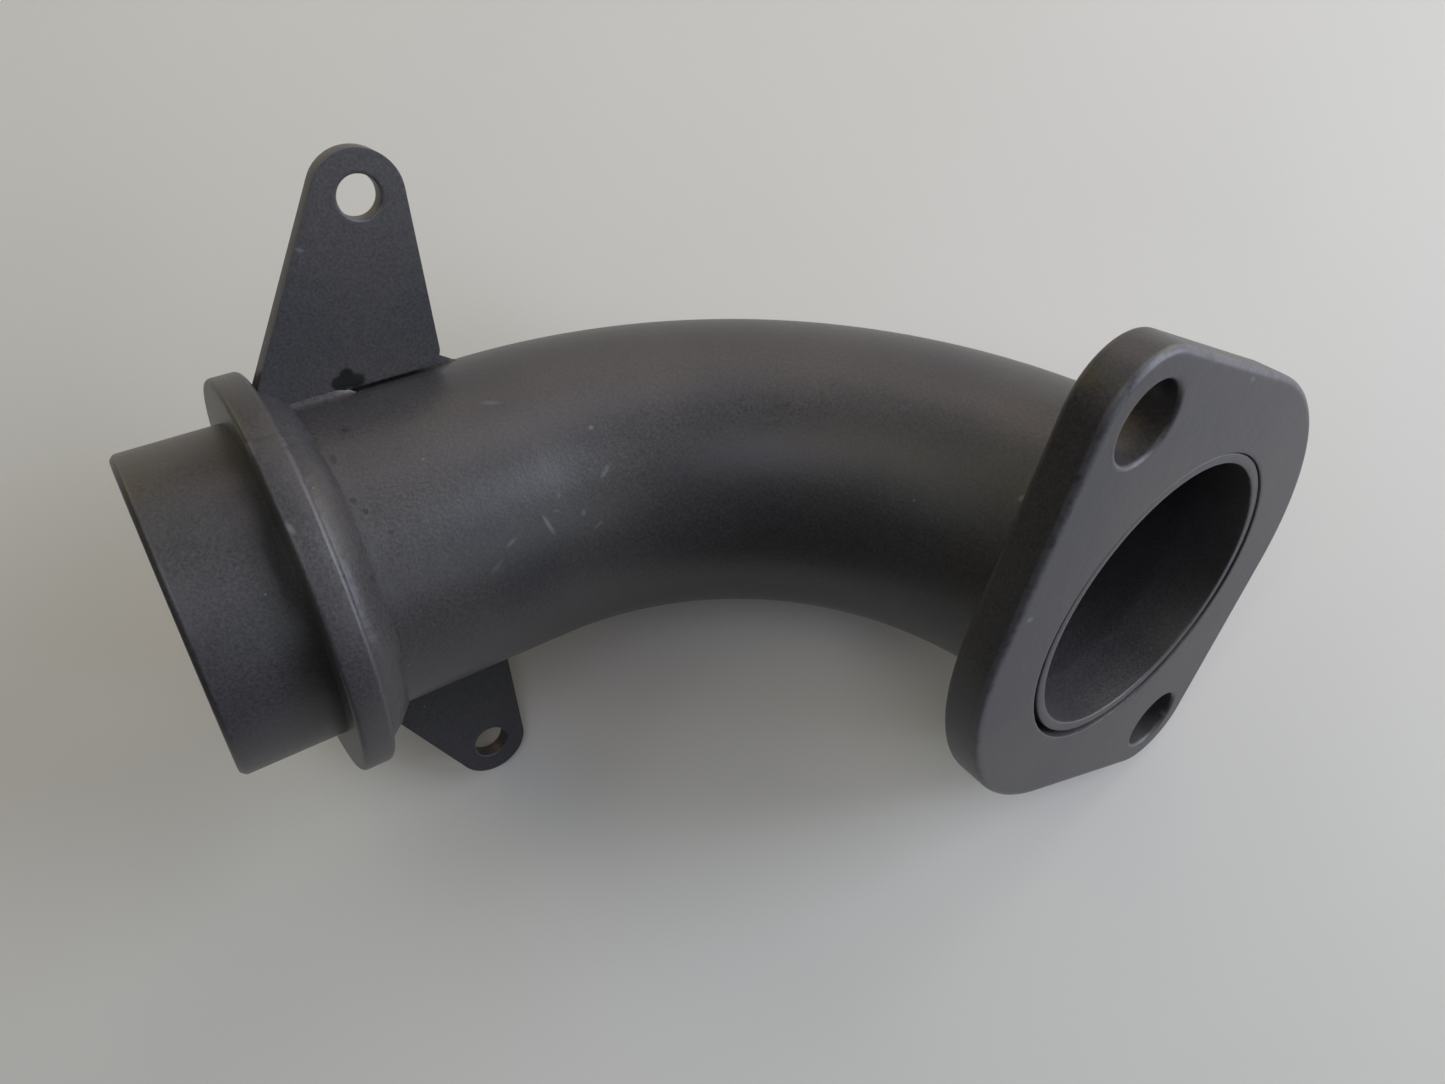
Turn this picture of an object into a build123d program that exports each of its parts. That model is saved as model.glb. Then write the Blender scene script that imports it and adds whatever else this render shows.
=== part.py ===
from build123d import *
import os
from math import acos, cos, hypot, radians, sin, sqrt

os.makedirs("parts", exist_ok=True)

# Flue elbow: a mandrel-bent steel tube with a collar and a plain spigot at one end,
# a two-bolt flange at the other, and two mounting lugs welded behind the collar.
#
# Working frame while the pieces are made: the spigot axis is X, the tube starts to
# bend at X = 0 and turns towards -Y, Z is square to the plane of the bend.
# The finished elbow is then laid on its three resting points with +Z up.

# --- tube -------------------------------------------------------------------
TUBE_OD = 50.8
TUBE_WALL = 1.8
BEND_RADIUS = 73.0
BEND_ANGLE = 87.0
SPIGOT_REACH = 55.5
FLANGE_REACH = 9.5
SPIGOT_SWELL = 1.0
SPIGOT_BEVEL = 0.8
SIZED_TAPER = 3.0
FLANGE_END_SWELL = 1.4
FLANGE_END_RECESS = 0.3

# --- collar -----------------------------------------------------------------
COLLAR_HEIGHT = 6.8
COLLAR_THICK = 5.0
SPIGOT_LENGTH = 16.0
COLLAR_EDGE = 0.6
SEAM_GAP = 2.4
SEAM_ANGLE = 18.0
SEAM_PROUD = 0.35

# --- flange -----------------------------------------------------------------
FLANGE_THICK = 6.8
FLANGE_BORE_GAP = 1.1
FLANGE_LAND = 12.55
BOLT_STANDOFF = 18.15
BOLT_HOLE_D = 12.2
BOLT_LAND = 4.5
FLANGE_CLOCKING = 114.6
FLANGE_SHIFT = 0.45
FLANGE_SHIFT_CLOCK = 225.0
FLANGE_EDGE = 0.7
HOLE_EDGE = 0.3

# --- lugs -------------------------------------------------------------------
LUG_THICK = 3.2
LUG_ROLL = 8.0
LUG_OFFSET = 5.6
LUG_GAP = 0.5
LUG_FOOT_LENGTH = 29.1
LUG_LEAN_START = -1.6
LUG_TIP_SETBACK = 22.3
LUG_TIP_REACH = 28.2
LUG_TIP_R = 6.9
LUG_HOLE_D = 6.5
LUG_CORNER_R = 2.5

# --- weld beads -------------------------------------------------------------
COLLAR_BEAD = 4.8
FLANGE_BEAD = 3.6
LUG_BEAD_R = 3.0
LUG_FRONT_BEAD = 12.0
LUG_BACK_OVERRUN = 2.6
BEAD_SWELL = 0.62

# --- resting pose -----------------------------------------------------------
LAY_X = -46.727
LAY_Y = 2.404
LAY_Z = 35.548

# --- sizes that follow ------------------------------------------------------
TUBE_R = TUBE_OD / 2
SPIGOT_R = (TUBE_OD + SPIGOT_SWELL) / 2
COLLAR_R = SPIGOT_R + COLLAR_HEIGHT
COLLAR_FRONT = -SPIGOT_REACH + SPIGOT_LENGTH
COLLAR_BACK = COLLAR_FRONT + COLLAR_THICK
FLANGE_END_TUBE_R = (TUBE_OD + FLANGE_END_SWELL) / 2
FLANGE_BORE_R = FLANGE_END_TUBE_R + FLANGE_BORE_GAP / 2
FLANGE_BELLY_R = FLANGE_BORE_R + FLANGE_LAND
BOLT_CIRCLE_R = FLANGE_BORE_R + BOLT_STANDOFF
BOLT_HOLE_R = BOLT_HOLE_D / 2
FLANGE_END_R = BOLT_HOLE_R + BOLT_LAND
LUG_FOOT_HEIGHT = TUBE_R + LUG_GAP
LUG_FOOT_END = COLLAR_BACK + LUG_FOOT_LENGTH
LUG_TIP_X = COLLAR_BACK + LUG_TIP_SETBACK
LUG_TIP_HEIGHT = TUBE_R + LUG_TIP_REACH

# The flange frame: its X is the axis leaving the elbow, its Y the outer side of the bend.
BEND_END = Location((0, -BEND_RADIUS, 0)) * Rotation(0, 0, -BEND_ANGLE) * Location((0, BEND_RADIUS, 0))
FLANGE_FACE = BEND_END * Location((FLANGE_REACH, 0, 0))


def turned(points):
    """Solid of revolution about X from (x, radius) points."""
    outline = Polyline(*[(x, r) for x, r in points], close=True)
    return revolve(make_face(outline), axis=Axis.X, revolution_arc=360)


def spigot_outside():
    """Straight spigot side, bevelled at its mouth and sized up as far as the collar."""
    return turned([
        (-SPIGOT_REACH, 0),
        (-SPIGOT_REACH, SPIGOT_R - SPIGOT_BEVEL),
        (-SPIGOT_REACH + SPIGOT_BEVEL, SPIGOT_R),
        (COLLAR_FRONT, SPIGOT_R),
        (COLLAR_FRONT + SIZED_TAPER, TUBE_R),
        (0, TUBE_R),
        (0, 0),
    ])


def spigot_inside():
    """The bore that goes with the spigot side, running out past its mouth."""
    return turned([
        (-SPIGOT_REACH - 1, 0),
        (-SPIGOT_REACH - 1, SPIGOT_R - TUBE_WALL),
        (COLLAR_FRONT, SPIGOT_R - TUBE_WALL),
        (COLLAR_FRONT + SIZED_TAPER, TUBE_R - TUBE_WALL),
        (0, TUBE_R - TUBE_WALL),
        (0, 0),
    ])


def bend(radius):
    """The bent middle of the tube as a solid of the given radius."""
    section = Plane.YZ * Circle(radius)
    axis = Axis((0, -BEND_RADIUS, 0), (0, 0, -1))
    return revolve(section, axis=axis, revolution_arc=BEND_ANGLE)


def flange_leg(inset, end):
    """Short straight side inside the flange, sized up over a short taper."""
    taper_end = min(SIZED_TAPER, FLANGE_REACH - FLANGE_THICK)
    leg = turned([
        (0, 0),
        (0, TUBE_R - inset),
        (taper_end, FLANGE_END_TUBE_R - inset),
        (end, FLANGE_END_TUBE_R - inset),
        (end, 0),
    ])
    return BEND_END * leg


def tube_outside():
    """The whole tube run as one solid, at its outside."""
    return spigot_outside() + bend(TUBE_R) + flange_leg(0, FLANGE_REACH - FLANGE_END_RECESS)


def tube_inside():
    """The whole passage as one solid, running out past both mouths."""
    return spigot_inside() + bend(TUBE_R - TUBE_WALL) + flange_leg(TUBE_WALL, FLANGE_REACH + 1)


def flange_profile():
    """Oval two-bolt outline: belly and bolt-end arcs joined by straight tangents."""
    half = BOLT_CIRCLE_R
    turn = acos((FLANGE_BELLY_R - FLANGE_END_R) / half)
    cx, cy = cos(turn), sin(turn)
    end_a = (half + FLANGE_END_R * cx, FLANGE_END_R * cy)
    end_b = (half + FLANGE_END_R * cx, -FLANGE_END_R * cy)
    belly_a = (FLANGE_BELLY_R * cx, FLANGE_BELLY_R * cy)
    belly_b = (FLANGE_BELLY_R * cx, -FLANGE_BELLY_R * cy)
    right = ThreePointArc(end_b, (half + FLANGE_END_R, 0), end_a)
    top_right = Line(end_a, belly_a)
    top = ThreePointArc(belly_a, (0, FLANGE_BELLY_R), (-belly_a[0], belly_a[1]))
    top_left = Line((-belly_a[0], belly_a[1]), (-end_a[0], end_a[1]))
    left = ThreePointArc((-end_a[0], end_a[1]), (-half - FLANGE_END_R, 0), (-end_b[0], end_b[1]))
    bottom_left = Line((-end_b[0], end_b[1]), (-belly_b[0], belly_b[1]))
    bottom = ThreePointArc((-belly_b[0], belly_b[1]), (0, -FLANGE_BELLY_R), belly_b)
    bottom_right = Line(belly_b, end_b)
    return make_face([right, top_right, top, top_left, left, bottom_left, bottom, bottom_right])


def flange_plate():
    """Flange in its own flat frame, face at Z = 0 and thickness towards -Z."""
    plate = extrude(flange_profile(), amount=-FLANGE_THICK)
    rim = plate.faces().sort_by(Axis.Z)[-1].edges() + plate.faces().sort_by(Axis.Z)[0].edges()
    plate = chamfer(rim, FLANGE_EDGE)
    plate -= Pos(0, 0, -FLANGE_THICK / 2) * Cylinder(FLANGE_BORE_R, FLANGE_THICK + 2)
    for side in (-1, 1):
        centre = side * BOLT_CIRCLE_R
        plate -= Pos(centre, 0, -FLANGE_THICK / 2) * Cylinder(BOLT_HOLE_R, FLANGE_THICK + 2)
        mouth = Cone(BOLT_HOLE_R, BOLT_HOLE_R + HOLE_EDGE, HOLE_EDGE)
        plate -= Pos(centre, 0, -HOLE_EDGE / 2) * mouth
    return plate


def on_flange(shape):
    """Stand a flat-frame shape on the flange face, shifted and clocked as welded."""
    clock = radians(FLANGE_SHIFT_CLOCK)
    shift = Pos(0, FLANGE_SHIFT * cos(clock), FLANGE_SHIFT * sin(clock))
    face = Plane(origin=(0, 0, 0), x_dir=(0, 1, 0), z_dir=(1, 0, 0))
    return FLANGE_FACE * shift * face.location * Rotation(0, 0, FLANGE_CLOCKING) * shape


def collar_ring():
    """Flat collar held by the swell of the spigot, its closing gap still open."""
    front, back, edge = COLLAR_FRONT, COLLAR_BACK, COLLAR_EDGE
    ring = turned([
        (front, SPIGOT_R),
        (front, COLLAR_R - edge),
        (front + edge, COLLAR_R),
        (back - edge, COLLAR_R),
        (back, COLLAR_R - edge),
        (back, TUBE_R),
        (front + SIZED_TAPER, TUBE_R),
    ])
    return ring - seam_block()


def seam_block():
    """The slot between the two ends of the rolled collar."""
    height = COLLAR_R + 2
    block = Box(COLLAR_THICK + 2, SEAM_GAP, height, align=(Align.CENTER, Align.CENTER, Align.MIN))
    return Rotation(SEAM_ANGLE, 0, 0) * Pos((COLLAR_FRONT + COLLAR_BACK) / 2, 0, 0) * block


def seam_weld():
    """Butt weld filling the slot, a touch proud of the rim."""
    front, back = COLLAR_FRONT, COLLAR_BACK
    proud = COLLAR_R + SEAM_PROUD
    filler = turned([
        (front, SPIGOT_R),
        (front, COLLAR_R - COLLAR_EDGE),
        (front + COLLAR_EDGE, proud),
        (back - COLLAR_EDGE, proud),
        (back, COLLAR_R - COLLAR_EDGE),
        (back, TUBE_R),
        (front + SIZED_TAPER, TUBE_R),
    ])
    return filler & seam_block()


def tangent_lean(run, rise):
    """Angle between a lug side and the foot for a foot corner run and rise from the tip centre."""
    reach = hypot(run, rise)
    return acos(run / reach) + acos(sqrt(reach ** 2 - LUG_TIP_R ** 2) / reach)


def lug(side):
    """One lug plate; side +1 is the upper lug, -1 the lower one."""
    lean_x = COLLAR_BACK + LUG_LEAN_START
    lean = tangent_lean(LUG_TIP_X - lean_x, LUG_TIP_REACH)
    touch = (LUG_TIP_X - LUG_TIP_R * sin(lean), LUG_TIP_HEIGHT + LUG_TIP_R * cos(lean))
    heel = (COLLAR_BACK, TUBE_R - LUG_LEAN_START * sin(lean) / cos(lean))
    rise = tangent_lean(LUG_FOOT_END - LUG_TIP_X, LUG_TIP_REACH)
    touch_end = (LUG_TIP_X + LUG_TIP_R * sin(rise), LUG_TIP_HEIGHT + LUG_TIP_R * cos(rise))
    foot_start = (COLLAR_BACK, LUG_FOOT_HEIGHT)
    foot_end = (LUG_FOOT_END, LUG_FOOT_HEIGHT)
    profile = make_face([
        Line(foot_start, heel),
        Line(heel, touch),
        ThreePointArc(touch, (LUG_TIP_X, LUG_TIP_HEIGHT + LUG_TIP_R), touch_end),
        Line(touch_end, foot_end),
        Line(foot_end, foot_start),
    ])
    corner = profile.vertices().sort_by(Axis.X)[-1]
    profile = fillet(corner, LUG_CORNER_R)
    profile -= Pos(LUG_TIP_X, LUG_TIP_HEIGHT) * Circle(LUG_HOLE_D / 2)
    plate = extrude(profile, amount=LUG_THICK / 2, both=True)
    return lug_place(side) * plate


def lug_place(side):
    """From the flat lug frame (X along the tube, Y outward) to its place on the tube."""
    turn = Rotation(-LUG_ROLL, 0, 0)
    stand = Plane(origin=(0, LUG_OFFSET, 0), x_dir=(1, 0, 0), z_dir=(0, -side, 0))
    return turn * stand.location


def lug_bead(side, face, length):
    """Rod of filler along the foot of a lug on one face, rounded at both ends."""
    start = COLLAR_BACK - 1
    stop = COLLAR_BACK + length
    across = face * LUG_THICK / 2
    world_y = LUG_OFFSET - side * across
    height = sqrt(TUBE_R ** 2 - world_y ** 2)
    rod = Rotation(0, 90, 0) * Cylinder(LUG_BEAD_R, stop - start)
    rod = Pos((start + stop) / 2, height, across) * rod
    rod += Pos(stop, height, across) * Sphere(LUG_BEAD_R)
    return lug_place(side) * rod


def fillet_bead(x_corner, direction, radius, leg):
    """Convex fillet ring in the corner between a face and the tube."""
    corner = (x_corner, radius)
    toe_x = (x_corner + direction * leg, radius)
    toe_r = (x_corner, radius + leg)
    swell = BEAD_SWELL * leg
    middle = (x_corner + direction * swell, radius + swell)
    face = make_face([Line(corner, toe_x), ThreePointArc(toe_x, middle, toe_r), Line(toe_r, corner)])
    return revolve(face, axis=Axis.X, revolution_arc=360)


def biggest(shape):
    """The main body left after trimming a bead."""
    return shape.solids().sort_by(SortBy.VOLUME)[-1]


outer = tube_outside()
tube = outer - tube_inside()
collar = collar_ring()
seam = seam_weld()
flange = on_flange(flange_plate())
upper_lug = lug(1)
lower_lug = lug(-1)

flange_bead = BEND_END * fillet_bead(FLANGE_REACH - FLANGE_THICK, -1, TUBE_R, FLANGE_BEAD)
flange_bead = biggest(flange_bead - outer - flange)
collar_bead = fillet_bead(COLLAR_BACK, 1, TUBE_R, COLLAR_BEAD)
collar_bead = biggest(collar_bead - outer - upper_lug - lower_lug)

pieces = {
    "elbow_tube": tube,
    "flange_plate": flange,
    "flange_fillet_weld": flange_bead,
    "collar_ring": collar,
    "collar_seam_weld": seam,
    "collar_fillet_weld": collar_bead,
    "upper_lug": upper_lug,
    "lower_lug": lower_lug,
}

behind_collar = collar + seam + collar_bead
back_length = LUG_FOOT_LENGTH + LUG_BACK_OVERRUN
for side, name, plate in ((1, "upper_lug", upper_lug), (-1, "lower_lug", lower_lug)):
    front = lug_bead(side, side, LUG_FRONT_BEAD) - outer - plate - behind_collar
    front = biggest(front)
    back = lug_bead(side, -side, back_length) - outer - plate - behind_collar - front
    pieces[name + "_front_weld"] = front
    pieces[name + "_back_weld"] = biggest(back)

laid = {name: Rotation(LAY_X, LAY_Y, LAY_Z) * shape for name, shape in pieces.items()}
box = Compound(children=[shape.solids()[0] for shape in laid.values()]).bounding_box()
drop = Pos(-(box.min.X + box.max.X) / 2, -(box.min.Y + box.max.Y) / 2, -box.min.Z)
for name, shape in laid.items():
    export_step(drop * shape, f"parts/{name}.step")
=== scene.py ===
"""Looks of a welded steel flue elbow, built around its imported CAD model."""

import logging
import math
from dataclasses import dataclass, field
from enum import Enum

import bmesh
import bpy
from bmesh.types import BMEdge, BMesh, BMFace, BMVert
from bpy.types import Material, Node, NodeSocket, NodeTree, Object
from mathutils import Matrix, Vector, noise


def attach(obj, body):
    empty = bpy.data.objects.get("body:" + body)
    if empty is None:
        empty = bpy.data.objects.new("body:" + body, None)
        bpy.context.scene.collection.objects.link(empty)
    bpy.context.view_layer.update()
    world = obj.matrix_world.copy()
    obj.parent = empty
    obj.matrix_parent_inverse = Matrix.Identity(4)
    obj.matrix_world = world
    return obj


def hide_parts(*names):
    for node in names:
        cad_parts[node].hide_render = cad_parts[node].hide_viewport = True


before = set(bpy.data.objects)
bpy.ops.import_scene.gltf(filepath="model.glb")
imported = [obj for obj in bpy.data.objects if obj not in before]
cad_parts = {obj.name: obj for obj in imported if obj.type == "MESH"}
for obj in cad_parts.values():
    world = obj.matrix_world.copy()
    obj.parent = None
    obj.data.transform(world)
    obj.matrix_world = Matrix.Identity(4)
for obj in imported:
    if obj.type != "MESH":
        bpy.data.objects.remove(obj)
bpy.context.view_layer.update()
LOG = logging.getLogger("flue_elbow")

MM = 0.001

# The elbow is made with the spigot axis along X, the bend starting at X = 0 and turning
# towards -Y. It is then laid on its three resting points, as the CAD model is.
LAY = (
    Matrix.Rotation(math.radians(-46.727), 4, "X")
    @ Matrix.Rotation(math.radians(2.404), 4, "Y")
    @ Matrix.Rotation(math.radians(35.548), 4, "Z")
)
LAID = Matrix.Scale(MM, 4) @ Matrix.Translation((-37.8016, 1.9345, 36.5675)) @ LAY


class Slot(Enum):
    """The record's material slots."""

    TUBE = "tube_steel"
    FLANGE = "flange_steel"
    COLLAR = "collar_steel"
    LUG = "lug_steel"
    WELD = "weld_metal"


class Side(Enum):
    """The two lugs, by the way each stands from the tube."""

    UPPER = 1
    LOWER = -1


class Mark(Enum):
    """Vertex attributes that the finishes read."""

    WEAR_AND_HIGHLIGHT = "wear_and_highlight"
    TOE = "toe"


# --- finishes ---------------------------------------------------------------


def linear(colour: str) -> tuple[float, float, float, float]:
    """Turn an sRGB hex colour into linear light.

    Args:
        colour: six hex digits, with or without a leading hash.

    Returns:
        Linear red, green and blue, and an alpha of one.
    """
    digits = colour.lstrip("#")
    parts = [int(digits[i : i + 2], 16) / 255 for i in (0, 2, 4)]
    light = [c / 12.92 if c <= 0.04045 else ((c + 0.055) / 1.055) ** 2.4 for c in parts]
    return (light[0], light[1], light[2], 1.0)


def per_metre(size_mm: float) -> float:
    """Texture scale that gives features of about that size in millimetres."""
    return 1000.0 / size_mm


def add_node(tree: NodeTree, kind: str, inputs: dict | None = None, **settings: object) -> Node:
    """Add a node with its settings, values and links.

    Args:
        tree: the node tree of a material or world.
        kind: the node's type name.
        inputs: by socket name or index, a value or the output socket to link.
        settings: the node's own properties.

    Returns:
        The new node.
    """
    made = tree.nodes.new(kind)
    for key, value in settings.items():
        setattr(made, key, value)
    for key, value in (inputs or {}).items():
        if isinstance(value, NodeSocket):
            tree.links.new(value, made.inputs[key])
        else:
            made.inputs[key].default_value = value
    return made


class Nodes:
    """The nodes of one material, with the coordinates that its patterns read."""

    def __init__(self, name: str) -> None:
        """Start an empty material of that name."""
        self.material = bpy.data.materials.new(name)
        self.material.use_nodes = True
        self.tree = self.material.node_tree
        self.tree.nodes.clear()
        self.place = add_node(self.tree, "ShaderNodeTexCoord").outputs["Object"]

    def noise(self, size: float, detail: float, rough: float) -> NodeSocket:
        """Add an even noise.

        Args:
            size: the size of its features in millimetres.
            detail: how many finer layers it has.
            rough: how strong the finer layers are.

        Returns:
            The noise value.
        """
        inputs = {"Vector": self.place, "Scale": per_metre(size), "Detail": detail, "Roughness": rough}
        return add_node(self.tree, "ShaderNodeTexNoise", inputs).outputs["Fac"]

    def ramp(self, value: NodeSocket, low: float, high: float) -> NodeSocket:
        """Stretch a value between two limits to the range from nought to one.

        Args:
            value: the value to stretch.
            low: what becomes nought.
            high: what becomes one.

        Returns:
            The clamped result.
        """
        inputs = {"Value": value, "From Min": low, "From Max": high}
        made = add_node(self.tree, "ShaderNodeMapRange", inputs, interpolation_type="SMOOTHSTEP")
        return made.outputs["Result"]

    def mix(self, factor: NodeSocket, under: object, over: object) -> NodeSocket:
        """Lay one colour over another.

        Args:
            factor: how much of the upper colour shows.
            under: the lower colour or its socket.
            over: the upper colour or its socket.

        Returns:
            The mixed colour.
        """
        inputs = {0: factor, 6: under, 7: over}
        return add_node(self.tree, "ShaderNodeMix", inputs, data_type="RGBA").outputs[2]

    def reckon(self, operation: str, *values: object, clamp: bool = False) -> NodeSocket:
        """Do one sum.

        Args:
            operation: the Math node's operation.
            values: its two or three values or sockets, in order.
            clamp: whether the result is kept from nought to one.

        Returns:
            The result.
        """
        inputs = dict(enumerate(values))
        made = add_node(self.tree, "ShaderNodeMath", inputs, operation=operation, use_clamp=clamp)
        return made.outputs[0]

    def marked(self, mark: Mark) -> NodeSocket:
        """Read one of the mesh's marks."""
        return add_node(self.tree, "ShaderNodeAttribute", attribute_name=mark.value).outputs["Fac"]

    def done(self, shader: Node) -> Material:
        """Send the shader to the output and hand over the material."""
        add_node(self.tree, "ShaderNodeOutputMaterial", {"Surface": shader.outputs["BSDF"]})
        return self.material


@dataclass(frozen=True)
class Stroke:
    """A short mark on the laid elbow, such as a scratch or a pinhole, in millimetres."""

    start: tuple[float, float, float]
    end: tuple[float, float, float]
    width: float
    strength: float = 1.0
    depth: float = 1.6

    def mapping(self) -> dict[str, object]:
        """Centre, turn and scale that make the mark a unit ball.

        Returns:
            Values for a Mapping node of the texture kind.
        """
        start, end = Vector(self.start), Vector(self.end)
        along = (end - start).normalized() if start != end else Vector((1, 0, 0))
        across = Vector((0, 0, 1)).cross(along).normalized()
        turn = Matrix((along, across, along.cross(across))).transposed()
        half = (end - start).length / 2 + self.width / 2
        return {
            "Location": (start + end) / 2 * MM,
            "Rotation": turn.to_euler(),
            "Scale": Vector((half, self.width / 2, self.depth)) * MM,
        }


@dataclass(frozen=True)
class StovePaint:
    """Sprayed heat-resistant paint over shot-blasted mild steel.

    It shows as a dry charcoal grey with a soft sheen, a fine even grain from the blasted
    surface, faint cloudy patches, and paler metal where edges and high spots have worn;
    on rims that paler colour also stands for a painted highlight.
    """

    name: str
    paint: str = "#3C3B3E"
    cloud: str = "#434142"
    # Pale worn paint, which on rims is also a painted highlight; dust specks use it too.
    rubbed_and_highlight: str = "#636268"
    # Near-black painted shade inside pinholes and the weld crater.
    hollow: str = "#080708"
    roughness: float = 0.37
    grain_depth: float = 0.05
    cloud_mm: float = 26.0
    # Blasted grain is really about 0.1 mm; it is drawn at 0.45 mm so that it shows.
    grain_mm: float = 0.45
    # Sprayed paint lies in a soft orange peel of about 3 mm.
    peel_mm: float = 3.0
    speck_mm: float = 5.0
    wear_mm: float = 2.2
    hole_mm: float = 1.7
    peel_share: float = 1.6
    bump: float = 0.55
    grain_gain: tuple[float, float] = (0.66, 1.34)
    scratches: tuple[Stroke, ...] = ()
    pinholes: tuple[Stroke, ...] = ()

    def build(self) -> Material:
        """Make the node material.

        Returns:
            The finished material.
        """
        nodes = Nodes(self.name)
        grain = nodes.noise(self.grain_mm, 3.0, 0.6)
        peel = nodes.noise(self.peel_mm, 2.0, 0.5)
        clouds = nodes.noise(self.cloud_mm, 4.0, 0.55)
        colour = nodes.mix(nodes.ramp(clouds, 0.36, 0.66), linear(self.paint), linear(self.cloud))
        colour = self._grained(nodes, colour, grain)
        colour = nodes.mix(self._specks(nodes), colour, linear(self.rubbed_and_highlight))
        # Paler colour on worn edges and scratches, and a painted highlight on rims.
        colour = nodes.mix(self._bare_and_highlight(nodes), colour, linear(self.rubbed_and_highlight))
        # Painted shade in pinholes and the crater.
        colour = nodes.mix(self._painted_pinhole_shade(nodes), colour, linear(self.hollow))
        rough = add_node(
            nodes.tree,
            "ShaderNodeMapRange",
            {"Value": grain, "From Min": 0.3, "From Max": 0.7,
             "To Min": self.roughness - 0.05, "To Max": self.roughness + 0.07},
        )
        height = nodes.reckon("MULTIPLY_ADD", peel, self.peel_share, grain)
        bump = add_node(
            nodes.tree,
            "ShaderNodeBump",
            {"Strength": self.bump, "Distance": self.grain_depth * MM, "Height": height},
        )
        shader = add_node(
            nodes.tree,
            "ShaderNodeBsdfPrincipled",
            {"Base Color": colour, "Roughness": rough.outputs["Result"], "Normal": bump.outputs["Normal"]},
        )
        shader.inputs["Metallic"].default_value = 0.0
        shader.inputs["IOR"].default_value = 1.5
        return nodes.done(shader)

    def _grained(self, nodes: Nodes, colour: NodeSocket, grain: NodeSocket) -> NodeSocket:
        """Lighten and darken a colour with the blasted grain.

        Args:
            nodes: the material's nodes.
            colour: the paint's colour.
            grain: the grain's noise.

        Returns:
            The grained colour.
        """
        low, high = self.grain_gain
        gain = add_node(
            nodes.tree,
            "ShaderNodeMapRange",
            {"Value": grain, "From Min": 0.25, "From Max": 0.75, "To Min": low, "To Max": high},
        )
        inputs = {"Value": gain.outputs["Result"], "Color": colour}
        return add_node(nodes.tree, "ShaderNodeHueSaturation", inputs).outputs["Color"]

    def _specks(self, nodes: Nodes) -> NodeSocket:
        """Scatter a few pale specks of dust, and say how much of one shows."""
        inputs = {"Vector": nodes.place, "Scale": per_metre(self.speck_mm)}
        cells = add_node(nodes.tree, "ShaderNodeTexVoronoi", inputs)
        # A speck is about 0.3 mm across, in cells of speck_mm.
        dot = nodes.ramp(cells.outputs["Distance"], 0.045, 0.03)
        chosen = nodes.ramp(cells.outputs["Color"], 0.72, 0.74)
        return nodes.reckon("MULTIPLY", dot, chosen)

    def _bare_and_highlight(self, nodes: Nodes) -> NodeSocket:
        """Find where paint has worn thin, on edges and in scratches, and where rims carry a painted
        highlight.

        Args:
            nodes: the material's nodes.

        Returns:
            How much of the paler colour shows.
        """
        patches = nodes.ramp(nodes.noise(self.wear_mm, 4.0, 0.65), 0.28, 0.56)
        total = nodes.reckon("MULTIPLY", nodes.marked(Mark.WEAR_AND_HIGHLIGHT), patches)
        for stroke in self.scratches:
            total = self._stroked(nodes, stroke, total, 0.75)
        return total

    def _stroked(self, nodes: Nodes, stroke: Stroke, total: NodeSocket, soft: float) -> NodeSocket:
        """Add one stroke to what is already marked.

        Args:
            nodes: the material's nodes.
            stroke: where it lies and how strong it is.
            total: what is marked so far.
            soft: how far its edge fades inwards, from nought to one.

        Returns:
            What is marked with this stroke.
        """
        inputs = {"Vector": nodes.place, **stroke.mapping()}
        ball = add_node(nodes.tree, "ShaderNodeMapping", inputs, vector_type="TEXTURE")
        inputs = {"Vector": ball.outputs["Vector"]}
        fade = add_node(nodes.tree, "ShaderNodeTexGradient", inputs, gradient_type="SPHERICAL")
        inside = nodes.ramp(fade.outputs["Fac"], 0.0, soft)
        return nodes.reckon("MULTIPLY_ADD", inside, stroke.strength, total, clamp=True)

    def _painted_pinhole_shade(self, nodes: Nodes) -> NodeSocket:
        """Find pinholes along weld toes and in the crater, and paint the shade inside them near-black.

        Args:
            nodes: the material's nodes.

        Returns:
            How much of the painted shade shows.
        """
        holes = nodes.ramp(nodes.noise(self.hole_mm, 2.0, 0.5), 0.60, 0.68)
        total = nodes.reckon("MULTIPLY", nodes.marked(Mark.TOE), holes)
        for stroke in self.pinholes:
            total = self._stroked(nodes, stroke, total, 0.45)
        return total


@dataclass(frozen=True)
class BenchTop:
    """Satin white laminate: pale, even and very slightly warm."""

    name: str = "satin_white_laminate"
    colour: str = "#E4E2DC"
    shade: str = "#DCDAD4"
    roughness: float = 0.55
    cloud_mm: float = 90.0

    def build(self) -> Material:
        """Make the node material.

        Returns:
            The finished material.
        """
        nodes = Nodes(self.name)
        clouds = nodes.noise(self.cloud_mm, 3.0, 0.5)
        colour = nodes.mix(clouds, linear(self.colour), linear(self.shade))
        shader = add_node(nodes.tree, "ShaderNodeBsdfPrincipled", {"Base Color": colour})
        shader.inputs["Roughness"].default_value = self.roughness
        return nodes.done(shader)


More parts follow.
